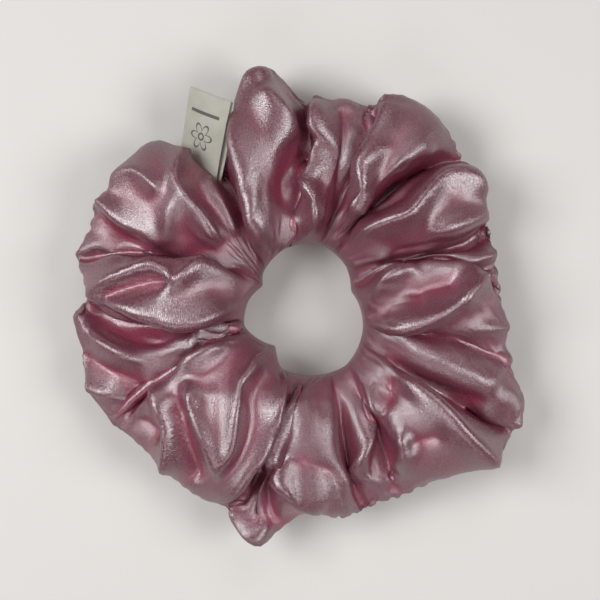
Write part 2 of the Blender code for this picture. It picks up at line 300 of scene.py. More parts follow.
# The settling of the cloth, which runs at twenty times the real size.
SETTLE_SCALE = 20.0
SETTLE_FRAMES = 12
CLOTH_SLACK = 1.06
SETTLE_SHARE = 0.25
ELASTIC_GRIP = 0.003
STRIP_SEAMS = 0.012
CLOTH_GAP = 0.0005
TABLE_GAP = 0.0003


# ---------------------------------------------------------------- mesh helpers


def deselect_all():
    """Leaves nothing selected, so that the next operator works on what it makes."""
    for obj in bpy.context.selected_objects:
        obj.select_set(False)


def pick(obj):
    """Selects one object, and makes it the active one."""
    deselect_all()
    obj.select_set(True)
    bpy.context.view_layer.objects.active = obj


def points_and_normals(mesh):
    """A mesh's points and the way each one faces, as two arrays of rows."""
    points, normals = np.empty(len(mesh.vertices) * 3), np.empty(len(mesh.vertices) * 3)
    mesh.vertices.foreach_get("co", points)
    mesh.vertices.foreach_get("normal", normals)
    return points.reshape(-1, 3), normals.reshape(-1, 3)


def set_points(mesh, points):
    """Moves a mesh's points to the given places."""
    mesh.vertices.foreach_set("co", points.ravel())
    mesh.update()


def angles_round_the_ring(points):
    """Each point's angle in degrees round the ring's middle."""
    middle = points - np.array(RING_MIDDLE)
    return np.degrees(np.arctan2(middle[:, 1], middle[:, 0]))


def nearest_angle(angles, degrees):
    """Where in a list of angles the one nearest to a given angle is."""
    return np.abs((angles - degrees + 180.0) % 360.0 - 180.0).argmin()


# ---------------------------------------------------------------- the gathered form


def round_the_ring(points, degrees):
    """Values at angles, from a closed list of (angle, value) points."""
    angles = np.array([point[0] for point in points], float)
    values = np.array([point[1] for point in points], float)
    angles = np.concatenate([angles - 360.0, angles, angles + 360.0])
    values = np.tile(values, 3)
    turned = (degrees + 180.0) % 360.0 - 180.0
    return sum(np.interp(turned + shift, angles, values) for shift in (-2.0, -1.0, 0.0, 1.0, 2.0)) / 5.0


def valley_angle(puff, outward):
    """The angle of the valley before each puff, at each share of the way from the hole to the rim."""
    angles = np.array([valley for _, valley, _, _, _ in PUFFS], float)
    angles = np.vstack([angles, angles[0] + 360.0])
    hole, middle, rim = angles[puff, 0], angles[puff, 1], angles[puff, 2]
    half = HALF_WAY_OUT
    return (
        hole * (outward - half) * (outward - 1.0) / half
        + middle * outward * (outward - 1.0) / (half * (half - 1.0))
        + rim * outward * (outward - half) / (1.0 - half)
    )


def row_angles():
    """The rows' angles round the section: 0 at the rim, a quarter turn on top, half a turn at the hole."""
    upper = np.pi * np.arange(UPPER_ROWS) / UPPER_ROWS
    under = np.pi * (1.0 + np.arange(UNDER_ROWS) / UNDER_ROWS)
    return np.concatenate([upper, under])


def gathered_form():
    """The tube's points in millimetres from the ring's middle, by column and row, and the rows' angles."""
    shares = np.array([share for _, _, _, _, share in PUFFS], float)
    edges = np.concatenate([[0.0], np.cumsum(shares / shares.sum())])
    along = (np.arange(COLUMNS) + 0.5) / COLUMNS
    puff = np.clip(np.searchsorted(edges, along, side="right") - 1, 0, len(PUFFS) - 1)
    across = (along - edges[puff]) / (edges[puff + 1] - edges[puff])
    across, section = np.meshgrid(across, row_angles(), indexing="ij")
    puff = np.repeat(puff[:, None], ROWS, 1)
    outward = (1.0 + np.cos(section)) / 2.0
    before, after = valley_angle(puff, outward), valley_angle(puff + 1, outward)
    degrees = before + (after - before) * across
    overlaps = np.array([overlap for _, _, overlap, _, _ in PUFFS] + [PUFFS[0][2]], float)
    over_before, over_after = overlaps[puff], -overlaps[puff + 1]
    arch = np.sin(np.pi * across) ** ARCH_POWER
    most = TUCK_OVERLAP_MM
    tucked = np.clip(-over_before, 0.0, most) / most * np.clip(1.0 - across / 0.5, 0.0, 1.0)
    tucked += np.clip(-over_after, 0.0, most) / most * np.clip(1.0 - (1.0 - across) / 0.5, 0.0, 1.0)
    arch = arch * (1.0 - tucked) + np.sin(np.pi * across) ** TUCKED_POWER * tucked
    heights = np.array([height for _, _, _, height, _ in PUFFS], float)[puff]
    hole, rim = round_the_ring(HOLE_MM, degrees), round_the_ring(RIM_MM, degrees)
    radius = hole + (rim - hole) * outward
    lean = np.clip(over_after, 0.0, None) * np.sin(np.pi * np.clip((1.0 - across) / LEAN_SHARE, 0.0, 1.0))
    lean -= np.clip(over_before, 0.0, None) * np.sin(np.pi * np.clip(across / LEAN_SHARE, 0.0, 1.0))
    leaning = np.interp(outward, (0.1, 0.35, 0.8, 1.0), (0.3, 1, 1, 0.4))
    lean *= np.clip(np.sin(section) * 1.5, 0.0, 1.0) * leaning
    valley = np.interp(outward, (0.1, HALF_WAY_OUT, 1.0), VALLEY_HEIGHT_MM)
    top = valley + (heights - valley) * arch
    upper = HEART_HEIGHT_MM + (top - HEART_HEIGHT_MM) * np.sin(section)
    lower = HEART_HEIGHT_MM * (1.0 + LOWER_ROUNDNESS * np.sin(section))
    height = np.where(np.sin(section) >= 0.0, upper, lower)
    height = np.maximum(height, (1.0 - arch) * HOLLOW_UNDER_MM * np.clip(-np.sin(section), 0.0, 1.0))
    turn = np.radians(degrees) + lean / radius
    return np.stack([radius * np.cos(turn), radius * np.sin(turn), height], -1), section


def smooth_path(points, steps=8):
    """Points on a smooth curve through the given ones."""
    points = np.array(points, float)
    padded = np.vstack([2 * points[0] - points[1], points, 2 * points[-1] - points[-2]])
    path = []
    for a, b, c, d in zip(padded, padded[1:], padded[2:], padded[3:]):
        for step in range(steps):
            t = step / steps
            path.append(0.5 * (
                2 * b + (c - a) * t + (2 * a - 5 * b + 4 * c - d) * t * t + (3 * b - a - 3 * c + d) * t ** 3
            ))
    path.append(points[-1])
    return np.array(path)


def run_over_the_rim(points):
    """A fold's points, its outer end carried on over the rim where it comes near to it."""
    points = [np.array(point, float) for point in points]
    for end, before in ((0, 1), (-1, -2)):
        angle = math.degrees(math.atan2(points[end][1], points[end][0]))
        if np.hypot(*points[end]) > RUN_ON_SHARE * round_the_ring(RIM_MM, np.array(angle)):
            way = points[end] - points[before]
            further = points[end] + way / np.hypot(*way) * RUN_ON_MM
            points = [further, *points] if end == 0 else [*points, further]
    return points


def fold_lift(flat, height, left, right, points):
    """How far one fold lifts each point of the cloth, from how near its path the point is."""
    path = smooth_path(run_over_the_rim(points))
    starts, runs = path[:-1], np.diff(path, axis=0)
    lift = np.zeros(len(flat))
    nearby = np.hypot(*(flat - path.mean(0)).T) < np.hypot(*(path - path.mean(0)).T).max() + 12.0
    spots = flat[nearby][:, None]
    share = np.clip(((spots - starts) * runs).sum(-1) / (runs ** 2).sum(-1), 0.0, 1.0)
    gap = spots - (starts + runs * share[..., None])
    distance = np.hypot(gap[..., 0], gap[..., 1])
    nearest = distance.argmin(1)
    rows = np.arange(len(distance))
    side = runs[nearest, 0] * gap[rows, nearest, 1] - runs[nearest, 1] * gap[rows, nearest, 0]
    reach = np.where(side > 0.0, left, right) * FOLD_REACH
    travelled = (nearest + share[rows, nearest]) / len(runs)
    ends = np.clip(np.minimum(travelled, 1.0 - travelled) / FOLD_END_SHARE, 0.0, 1.0)
    ends = ends * ends * (3.0 - 2.0 * ends)
    slope = np.exp((CREST_ROUNDING_MM - np.hypot(distance[rows, nearest], CREST_ROUNDING_MM)) / reach)
    lift[nearby] = height * slope * (FOLD_END_HEIGHT + (1.0 - FOLD_END_HEIGHT) * ends)
    return lift


def fold_cloth(cover):
    """Lifts the cloth's upper side into its folds: ridges meet in hollows, and creases cut into them."""
    points, normals = points_and_normals(cover.data)
    seen = 1.0 + (points[:, 2:] - RIM_LEVEL) / EYE_HEIGHT
    flat = (points - np.array(RING_MIDDLE))[:, :2] * seen / MM
    ridges, creases = np.zeros(len(points)), np.zeros(len(points))
    for height, left, right, path in FOLDS_MM:
        lift = fold_lift(flat, height, left, right, path)
        if height > 0.0:
            ridges += lift ** 3
        else:
            creases += lift
    facing_up = np.clip(normals[:, 2] * 2.0 - 0.1, 0.0, 1.0)
    straight_up = np.clip(normals[:, 2] * 1.2 + 0.1, 0.0, 1.0)
    normals[:, :2] *= straight_up[:, None]
    creases *= np.interp(np.hypot(*flat.T), CREASE_FADE_MM, (0.0, 1.0))
    lifted = (RIDGE_STRENGTH * np.cbrt(ridges) + CREASE_STRENGTH * creases) * facing_up * MM
    set_points(cover.data, points + normals * lifted[:, None])


# ---------------------------------------------------------------- the satin cover


def settle_cloth(cover, form, section):
    """Lets the cloth settle over its elastic: slack pushes it into folds, and it lies on a floor."""
    points = form.reshape(-1, 3) * MM * SETTLE_SCALE
    cover.shape_key_add(name="slack")
    slack = cover.data.shape_keys.key_blocks["slack"]
    slack.data.foreach_set("co", (points * CLOTH_SLACK).ravel())
    gathered = cover.shape_key_add(name="gathered")
    gathered.data.foreach_set("co", points.ravel())
    gathered.value = 1.0
    held = cover.vertex_groups.new(name="held")
    reach = np.abs(section - np.pi) * (STRIP_CUT[0] - STRIP_SEAMS) / (2.0 * np.pi)
    held.add(np.nonzero(reach.reshape(-1) < ELASTIC_GRIP)[0].tolist(), 1.0, "REPLACE")
    cloth = cover.modifiers.new("cloth", "CLOTH")
    satin = cloth.settings
    satin.quality = 6
    satin.mass = 0.15
    satin.tension_stiffness = 25.0
    satin.compression_stiffness = 25.0
    satin.shear_stiffness = 10.0
    satin.bending_stiffness = 2.0
    satin.tension_damping = 10.0
    satin.compression_damping = 10.0
    satin.shear_damping = 10.0
    satin.bending_damping = 1.0
    satin.air_damping = 3.0
    satin.vertex_group_mass = held.name
    satin.rest_shape_key = slack
    satin.use_pressure = True
    satin.uniform_pressure_force = 0.25
    satin.effector_weights.gravity = 0.1
    touch = cloth.collision_settings
    touch.use_self_collision = True
    touch.self_distance_min = CLOTH_GAP * SETTLE_SCALE
    touch.self_friction = 2.0
    touch.collision_quality = 3
    touch.distance_min = TABLE_GAP * SETTLE_SCALE
    cloth.point_cache.frame_start = 1
    cloth.point_cache.frame_end = SETTLE_FRAMES
    bpy.ops.mesh.primitive_plane_add(size=10.0, location=(0.0, 0.0, -TABLE_GAP * SETTLE_SCALE))
    table = bpy.context.active_object
    table.modifiers.new("table", "COLLISION")
    for moment in range(1, SETTLE_FRAMES + 1):
        bpy.context.scene.frame_set(moment)
    pick(cover)
    bpy.ops.object.convert(target="MESH")
    bpy.data.objects.remove(table, do_unlink=True)


def mask_painted_crease_glow(cover):
    """Stores how deep in a fold each point lies, from 0 on a ridge to 1 at the bottom of a crease, as the
    mask for the satin's painted crimson glow of light bounced in its creases.
    """
    mesh = cover.data
    points, normals = points_and_normals(mesh)
    count = len(points)
    edges = np.empty(len(mesh.edges) * 2, dtype=np.int64)
    mesh.edges.foreach_get("vertices", edges)
    first, second = edges.reshape(-1, 2).T
    neighbours = np.bincount(edges, minlength=count)
    smooth = points.copy()
    for _ in range(PAINTED_GLOW_PASSES):
        for axis in range(3):
            around = np.bincount(first, smooth[second, axis], count)
            around += np.bincount(second, smooth[first, axis], count)
            smooth[:, axis] = 0.5 * (smooth[:, axis] + around / neighbours)
    depth = ((smooth - points) * normals).sum(-1)
    # Painted light: this depth masks the crimson glow painted into the satin's colour for light bounced in
    # its creases.
    painted_crease_glow_mask = mesh.attributes.new("painted_crease_glow_mask", "FLOAT", "POINT")
    painted_crease_glow_mask.data.foreach_set("value", np.clip(0.5 + depth / PAINTED_GLOW_DEPTH, 0.0, 1.0))


def pucker_seam(cover):
    """Draws the cloth in along the rim, and puckers it across the seam, unevenly."""
    points, normals = points_and_normals(cover.data)
    rim = points[:COLUMNS * ROWS].reshape(COLUMNS, ROWS, 3)[:, 0]
    gaps = np.linalg.norm(points[:, None] - rim, axis=-1)
    nearest, near = gaps.argmin(1), gaps.min(1)
    steps = np.linalg.norm(np.diff(rim, axis=0, append=rim[:1]), axis=-1)
    travelled = (np.cumsum(steps) - steps)[nearest]
    wave = np.sin(2.0 * np.pi * travelled / PUCKER_SPACING + 1.5 * np.sin(travelled / 0.011))
    strength = 0.35 + 0.65 * np.clip(np.sin(travelled / 0.023) + 0.3, 0.0, 1.0)
    lift = PUCKER_HEIGHT * wave * strength * np.exp(-(near / PUCKER_REACH) ** 2)
    groove = -GROOVE_DEPTH * np.exp(-(near / GROOVE_REACH) ** 2)
    set_points(cover.data, points + normals * (lift + groove)[:, None])


def make_cover():
    """The satin tube, and the points of its coarser grid, by column and row, for the threads to follow."""
    deselect_all()
    bpy.ops.mesh.primitive_torus_add(
        major_segments=COLUMNS, minor_segments=ROWS, major_radius=0.04, minor_radius=0.01
    )
    cover = bpy.context.active_object
    cover.name = "satin_cover"
    form, section = gathered_form()
    points = form.reshape(-1, 3) * MM
    set_points(cover.data, points * SETTLE_SCALE)
    settle_cloth(cover, form, section)
    settled = np.empty(len(cover.data.vertices) * 3)
    cover.data.vertices.foreach_get("co", settled)
    points += SETTLE_SHARE * (settled.reshape(-1, 3) / SETTLE_SCALE - points)
    points[:, 2] -= points[:, 2].min()
    set_points(cover.data, points + np.array(RING_MIDDLE))
    pick(cover)
    bpy.ops.object.shade_smooth()
    finer = cover.modifiers.new("finer", "SUBSURF")
    finer.levels = 1
    finer.render_levels = 1
    bpy.ops.object.modifier_apply(modifier="finer")
    fold_cloth(cover)
    pucker_seam(cover)
    mask_painted_crease_glow(cover)
    grid = np.array([vertex.co for vertex in cover.data.vertices[:COLUMNS * ROWS]])
    wall = cover.modifiers.new("cloth thickness", "SOLIDIFY")
    wall.thickness = CLOTH_THICKNESS
    wall.offset = -1.0
    bpy.ops.object.modifier_apply(modifier="cloth thickness")
    return cover, grid.reshape(COLUMNS, ROWS, 3)


# ---------------------------------------------------------------- threads


def thread(name, runs, radius, closed=False):
    """One thread piece along each run of points."""
    curve = bpy.data.curves.new(name, "CURVE")
    curve.dimensions = "3D"
    curve.bevel_depth = radius
    curve.bevel_resolution = 2
    curve.use_fill_caps = True
    for run in runs:
        spline = curve.splines.new("POLY")
        spline.points.add(len(run) - 1)
        for point, place in zip(spline.points, run):
            point.co = (*place, 1.0)
        spline.use_cyclic_u = closed
    obj = bpy.data.objects.new(name, curve)
    bpy.context.scene.collection.objects.link(obj)
    pick(obj)
    bpy.ops.object.convert(target="MESH")
    bpy.ops.object.shade_smooth()
    return obj


def rim_run(grid):
    """The rim's points, the way out of the tube at each, and how far along the rim each lies."""
    rim = grid[:, 0]
    outward = rim - grid.mean(1)
    outward /= np.linalg.norm(outward, axis=-1, keepdims=True)
    steps = np.linalg.norm(np.diff(rim, axis=0), axis=-1)
    return rim, outward, np.concatenate([[0.0], np.cumsum(steps)])


def make_seam_thread(grid):
    """A running stitch round the tube, inside its seam allowance."""
    rim, outward, travelled = rim_run(grid)
    places = np.arange(0.0, travelled[-1], STITCH_LENGTH / 2.0)
    side = np.where(np.arange(len(places)) % 2, 1.0, -1.0) * THREAD_RADIUS
    inside = rim - outward * SEAM_ALLOWANCE
    run = np.stack([np.interp(places, travelled, inside[:, axis]) for axis in range(3)], -1)
    run[:, 2] += side
    return thread("seam_thread", [run], THREAD_RADIUS, closed=True)


def column_at(grid, degrees):
    """The column of cloth that lies nearest to an angle round the ring, half way out."""
    return nearest_angle(angles_round_the_ring(grid.mean(1)), degrees)


def make_end_join(grid):
    """The stitching inside the tube where the strip's two ends are joined."""
    loop = grid[column_at(grid, END_JOIN_ANGLE)]
    heart = loop.mean(0)
    inward = heart - loop
    inward /= np.linalg.norm(inward, axis=-1, keepdims=True)
    run = loop + inward * END_JOIN_INSET
    run = (np.roll(run, 1, 0) + run + np.roll(run, -1, 0)) / 3.0
    return thread("end_join", [run], THREAD_RADIUS, closed=True)


def make_closing_stitches(grid):
    """Hand stitches over the rim, where the seam was closed after the elastic went in."""
    rim, outward, travelled = rim_run(grid)
    centre = travelled[nearest_angle(angles_round_the_ring(rim), CLOSING_ANGLE)]
    stitches = []
    for place in np.arange(centre - CLOSING_LENGTH / 2.0, centre + CLOSING_LENGTH / 2.0, STITCH_LENGTH):
        stitch = []
        for step in range(7):
            turn = math.radians(-80.0 + 160.0 * step / 6.0)
            along = place + CLOSING_SLANT * math.sin(turn)
            spot = np.array([np.interp(along, travelled, rim[:, axis]) for axis in range(3)])
            out = np.array([np.interp(along, travelled, outward[:, axis]) for axis in range(3)])
            lifted = (CLOSING_LIFT - CLOSING_DIP * (1.0 - math.cos(turn))) * out
            stitch.append(spot + lifted + np.array((0.0, 0.0, CLOSING_HALF_HEIGHT * math.sin(turn))))
        stitches.append(stitch)
    return thread("closing_whip_stitches", stitches, 1.4 * THREAD_RADIUS)


# ---------------------------------------------------------------- the elastic


def elastic_spot(degrees, turned, level, lift):
    """A point of the band, moved outward over its own start where the ends lap."""
    radius = ELASTIC_RADIUS + lift
    lap = math.degrees(ELASTIC_LAP / ELASTIC_RADIUS)
    over = min(max((turned - 360.0 + lap) / lap, 0.0), 1.0)
    radius += (ELASTIC_THICKNESS + LAP_GAP) * over * over * (3.0 - 2.0 * over)
    angle = math.radians(degrees)
    return RING_MIDDLE + Vector((radius * math.cos(angle), radius * math.sin(angle), level))


def make_elastic():
    """A flat knitted band, once round the hole, its two ends lapped."""
    lap = math.degrees(ELASTIC_LAP / ELASTIC_RADIUS)
    deselect_all()
    bpy.ops.mesh.primitive_grid_add(x_subdivisions=190, y_subdivisions=12, size=1.0)
    band = bpy.context.active_object
    band.name = "knitted_elastic"
    for vertex in band.data.vertices:
        share, across = vertex.co.x + 0.5, vertex.co.y
        turned = (360.0 + lap) * share
        rib = ELASTIC_RIB * math.sin(8.0 * math.pi * across)
        level = ELASTIC_LEVEL + ELASTIC_WIDTH * across
        start = ELASTIC_JOIN_ANGLE - lap / 2.0
        vertex.co = elastic_spot(start + turned, turned, level, rib)
    wall = band.modifiers.new("band thickness", "SOLIDIFY")
    wall.thickness = ELASTIC_THICKNESS
    wall.offset = 0.0
    bpy.ops.object.modifier_apply(modifier="band thickness")
    bpy.ops.object.mode_set(mode="EDIT")
    bpy.ops.mesh.select_all(action="SELECT")
    bpy.ops.mesh.normals_make_consistent(inside=False)
    bpy.ops.object.mode_set(mode="OBJECT")
    bpy.ops.object.shade_smooth_by_angle(angle=math.radians(40.0))
    return band


def make_lap_stitches():
    """Zigzag stitching through the lapped ends, on the band's outer face."""
    lift = 1.5 * ELASTIC_THICKNESS + LAP_GAP + 2.0 * THREAD_RADIUS
    span = 0.8 * math.degrees(ELASTIC_LAP / ELASTIC_RADIUS)
    run = []
    for step in range(ZIGZAG_STEPS):
        degrees = ELASTIC_JOIN_ANGLE + span * (step / (ZIGZAG_STEPS - 1.0) - 0.5)
        level = ELASTIC_LEVEL + (ZIGZAG_HALF_WIDTH if step % 2 else -ZIGZAG_HALF_WIDTH)
        angle = math.radians(degrees)
        radius = ELASTIC_RADIUS + lift
        run.append(RING_MIDDLE + Vector((radius * math.cos(angle), radius * math.sin(angle), level)))
    return thread("lap_zigzag", [run], THREAD_RADIUS)


# ---------------------------------------------------------------- the label


def label_spot(travelled, across):
    """A point of the ribbon: up its printed face, over the fold, and down its back."""
    straight = LABEL_LENGTH - LABEL_FOLD_RADIUS
    front = LABEL_SEWN_IN + straight
    bend = math.pi * LABEL_FOLD_RADIUS
    if travelled < front:
        reach, side = travelled - LABEL_SEWN_IN, LABEL_FOLD_RADIUS
    elif travelled < front + bend:
        turn = (travelled - front) / LABEL_FOLD_RADIUS
        reach = straight + LABEL_FOLD_RADIUS * math.sin(turn)
        side = LABEL_FOLD_RADIUS * math.cos(turn)
    else:
        reach, side = straight - (travelled - front - bend), -LABEL_FOLD_RADIUS
    height = max(reach, 0.0) / LABEL_LENGTH
    bow = LABEL_BOW * math.sin(math.pi * height) * (1.0 - (2.0 * across) ** 2)
    curl = -LABEL_CURL * height * height * (0.5 + across) ** 2
    spread = -LABEL_SPREAD * (1.0 - height) * height * 4.0 if side < 0.0 else 0.0
    skew = LABEL_SKEW * (1.0 - 0.6 * height) if side < 0.0 else 0.0
    return (
        LABEL_ROOT + LABEL_ALONG * reach + LABEL_FACE * (side + bow + curl + spread)
        + LABEL_ACROSS * (across * LABEL_WIDTH + skew)
    )


def make_label():
    """One strip of ribbon folded in half, its two ends sewn into the seam."""
    length = 2.0 * (LABEL_SEWN_IN + LABEL_LENGTH - LABEL_FOLD_RADIUS) + math.pi * LABEL_FOLD_RADIUS
    deselect_all()
    bpy.ops.mesh.primitive_grid_add(x_subdivisions=14, y_subdivisions=110, size=1.0)
    label = bpy.context.active_object
    label.name = "folded_label"
    for vertex in label.data.vertices:
        vertex.co = label_spot((vertex.co.y + 0.5) * length, vertex.co.x)
    wall = label.modifiers.new("ribbon thickness", "SOLIDIFY")
    wall.thickness = LABEL_THICKNESS
    wall.offset = 0.0
    bpy.ops.object.modifier_apply(modifier="ribbon thickness")
    bpy.ops.object.mode_set(mode="EDIT")
    bpy.ops.mesh.select_all(action="SELECT")
    bpy.ops.mesh.normals_make_consistent(inside=False)
    bpy.ops.object.mode_set(mode="OBJECT")
    bpy.ops.object.shade_smooth_by_angle(angle=math.radians(50.0))
    return label


def make_label_stitches():
    """The row of stitches that holds the ribbon's ends in the seam."""
    run = []
    for step in range(11):
        across = (step / 10.0 - 0.5) * LABEL_WIDTH
        side = LABEL_FOLD_RADIUS + 0.0003 if step % 2 else LABEL_FOLD_RADIUS + 0.00012
        run.append(LABEL_ROOT - LABEL_ALONG * 0.0006 + LABEL_ACROSS * across + LABEL_FACE * side)
    return thread("label_seam_stitches", [run], THREAD_RADIUS)


# ---------------------------------------------------------------- materials


def satin_material():
    """Rose satin: a fine speckle of floats in its gloss, and a painted crimson glow in its creases, which
    stands in for light bounced between the folds.
    """
    satin = bpy.data.materials.new("satin")
    satin.use_nodes = True
    nodes, links = satin.node_tree.nodes, satin.node_tree.links
    shader = nodes["Principled BSDF"]
    shader.inputs["IOR"].default_value = 1.9
    shader.inputs["Specular IOR Level"].default_value = 1.0
    shader.inputs["Anisotropic"].default_value = 0.4
    shader.inputs["Anisotropic Rotation"].default_value = 0.25
    cloth = nodes.new("ShaderNodeUVMap")
    cloth.uv_map = "UVMap"
    floats = nodes.new("ShaderNodeMapping")
    floats.inputs["Scale"].default_value = (900.0, 560.0, 1.0)
    links.new(cloth.outputs["UV"], floats.inputs["Vector"])
    grain = nodes.new("ShaderNodeTexNoise")
    grain.inputs["Scale"].default_value = 1.0
    grain.inputs["Detail"].default_value = 1.0
    links.new(floats.outputs["Vector"], grain.inputs["Vector"])
    bump = nodes.new("ShaderNodeBump")
    bump.inputs["Strength"].default_value = 1.0
    bump.inputs["Distance"].default_value = 0.0001
    links.new(grain.outputs["Fac"], bump.inputs["Height"])
    links.new(bump.outputs["Normal"], shader.inputs["Normal"])
    gloss = nodes.new("ShaderNodeMapRange")
    gloss.inputs["From Min"].default_value = 0.3
    gloss.inputs["From Max"].default_value = 0.7
    gloss.inputs["To Min"].default_value = 0.22
    gloss.inputs["To Max"].default_value = 0.42
    links.new(grain.outputs["Fac"], gloss.inputs["Value"])
    links.new(gloss.outputs["Result"], shader.inputs["Roughness"])
    # The rose base on ridges turns to a painted crimson glow in the creases: light bounced between the
    # folds, painted into the colour.
    painted_crease_glow_mask = nodes.new("ShaderNodeAttribute")
    painted_crease_glow_mask.attribute_name = "painted_crease_glow_mask"
    rose_and_painted_crease_glow = nodes.new("ShaderNodeValToRGB")
    rose_and_painted_crease_glow.color_ramp.elements[0].position = 0.25
    rose_and_painted_crease_glow.color_ramp.elements[0].color = (0.168, 0.040, 0.064, 1.0)
    rose_and_painted_crease_glow.color_ramp.elements[1].position = 0.85
    rose_and_painted_crease_glow.color_ramp.elements[1].color = (0.290, 0.036, 0.080, 1.0)
    links.new(painted_crease_glow_mask.outputs["Fac"], rose_and_painted_crease_glow.inputs["Fac"])
    speckle = nodes.new("ShaderNodeMapRange")
    speckle.inputs["From Min"].default_value = 0.3
    speckle.inputs["From Max"].default_value = 0.7
    speckle.inputs["To Min"].default_value = 0.78
    speckle.inputs["To Max"].default_value = 1.22
    links.new(grain.outputs["Fac"], speckle.inputs["Value"])
    tint = nodes.new("ShaderNodeVectorMath")
    tint.operation = "SCALE"
    links.new(rose_and_painted_crease_glow.outputs["Color"], tint.inputs["Vector"])
    links.new(speckle.outputs["Result"], tint.inputs["Scale"])
    links.new(tint.outputs["Vector"], shader.inputs["Base Color"])
    tangent = nodes.new("ShaderNodeTangent")
    tangent.direction_type = "UV_MAP"
    tangent.uv_map = "UVMap"
    links.new(tangent.outputs["Tangent"], shader.inputs["Tangent"])
    return satin


def thread_plies_with_painted_shade():
    """The slanting strands of spun thread, raising its surface, and darkening its colour with painted shade
    in the grooves between them, for every thread.
    """
    plies_with_painted_shade = bpy.data.node_groups.new("thread_plies_with_painted_shade", "ShaderNodeTree")
    plies_with_painted_shade.interface.new_socket(name="Color", in_out="INPUT", socket_type="NodeSocketColor")
    plies_with_painted_shade.interface.new_socket(name="Scale", in_out="INPUT", socket_type="NodeSocketFloat")
    plies_with_painted_shade.interface.new_socket(name="Color", in_out="OUTPUT", socket_type="NodeSocketColor")
    plies_with_painted_shade.interface.new_socket(name="Height", in_out="OUTPUT", socket_type="NodeSocketFloat")
    nodes, links = plies_with_painted_shade.nodes, plies_with_painted_shade.links
    given = nodes.new("NodeGroupInput")
    result = nodes.new("NodeGroupOutput")
    place = nodes.new("ShaderNodeTexCoord")
    bands = nodes.new("ShaderNodeTexWave")
    bands.bands_direction = "DIAGONAL"
    bands.inputs["Distortion"].default_value = 1.0
    links.new(place.outputs["Object"], bands.inputs["Vector"])
    links.new(given.outputs["Scale"], bands.inputs["Scale"])
    # Painted shade: the colour falls to six tenths of itself where the bands, and so the surface, are
    # lowest.
    shade = nodes.new("ShaderNodeMapRange")
    shade.inputs["To Min"].default_value = 0.6
    links.new(bands.outputs["Fac"], shade.inputs["Value"])
    tint = nodes.new("ShaderNodeVectorMath")
    tint.operation = "SCALE"
    links.new(given.outputs["Color"], tint.inputs["Vector"])
    links.new(shade.outputs["Result"], tint.inputs["Scale"])
    links.new(tint.outputs["Vector"], result.inputs["Color"])
    links.new(bands.outputs["Fac"], result.inputs["Height"])
    return plies_with_painted_shade


def strand_material(name, plies_with_painted_shade, color, roughness):
    """Spun thread of one colour."""
    strand = bpy.data.materials.new(name)
    strand.use_nodes = True
    nodes, links = strand.node_tree.nodes, strand.node_tree.links
    shader = nodes["Principled BSDF"]
    shader.inputs["Roughness"].default_value = roughness
    shader.inputs["Sheen Weight"].default_value = 0.3
    spun = nodes.new("ShaderNodeGroup")
    spun.node_tree = plies_with_painted_shade
    spun.inputs["Color"].default_value = (*color, 1.0)
    spun.inputs["Scale"].default_value = PLIES_SCALE
    # The thread's colour, darkened by painted shade in the grooves between its strands.
    links.new(spun.outputs["Color"], shader.inputs["Base Color"])
    bump = nodes.new("ShaderNodeBump")
    bump.inputs["Strength"].default_value = 0.8
    bump.inputs["Distance"].default_value = 0.00005
    links.new(spun.outputs["Height"], bump.inputs["Height"])
    links.new(bump.outputs["Normal"], shader.inputs["Normal"])
    return strand


def math_node(nodes, links, operation, first, second):
    """A maths node fed by sockets or plain numbers, and its result."""
    node = nodes.new("ShaderNodeMath")
    node.operation = operation
    for socket, value in zip(node.inputs, (first, second)):
        if isinstance(value, float):
            socket.default_value = value
        elif value is not None:
            links.new(value, socket)
    return node.outputs["Value"]


def band_between(nodes, links, value, low, high):
    """1 where a value lies between two others, and 0 elsewhere."""
    above = math_node(nodes, links, "GREATER_THAN", value, low)
    below = math_node(nodes, links, "LESS_THAN", value, high)
    return math_node(nodes, links, "MULTIPLY", above, below)


def printed_motif(nodes, links, across, up):
    """The label's print: a thin rule, and under it a plain six-petalled flower in outline."""
    x = math_node(nodes, links, "SUBTRACT", across, PRINT_MIDDLE[0])
    x = math_node(nodes, links, "MULTIPLY", x, PRINT_SIZE_MM[0])
    y = math_node(nodes, links, "SUBTRACT", up, PRINT_MIDDLE[1])
    y = math_node(nodes, links, "MULTIPLY", y, PRINT_SIZE_MM[1])
    rule_up = band_between(nodes, links, y, *RULE_UP_MM)
    rule_across = band_between(nodes, links, x, *RULE_ACROSS_MM)
    rule = math_node(nodes, links, "MULTIPLY", rule_up, rule_across)
    x_squared = math_node(nodes, links, "MULTIPLY", x, x)
    y_squared = math_node(nodes, links, "MULTIPLY", y, y)
    radius = math_node(nodes, links, "ADD", x_squared, y_squared)
    radius = math_node(nodes, links, "SQRT", radius, None)
    turn = math_node(nodes, links, "ARCTAN2", y, x)
    petal = math_node(nodes, links, "MULTIPLY", turn, 3.0)
    petal = math_node(nodes, links, "COSINE", petal, None)
    petal = math_node(nodes, links, "ABSOLUTE", petal, None)
    edge = math_node(nodes, links, "MULTIPLY", petal, PETAL_LENGTH_MM)
    edge = math_node(nodes, links, "ADD", edge, PETAL_INNER_MM)
    off = math_node(nodes, links, "SUBTRACT", radius, edge)
    outline = band_between(nodes, links, off, *PETAL_LINE_MM)
    ring = band_between(nodes, links, radius, *FLOWER_EYE_MM)
    print_mask = math_node(nodes, links, "MAXIMUM", rule, outline)
    return math_node(nodes, links, "MAXIMUM", print_mask, ring)


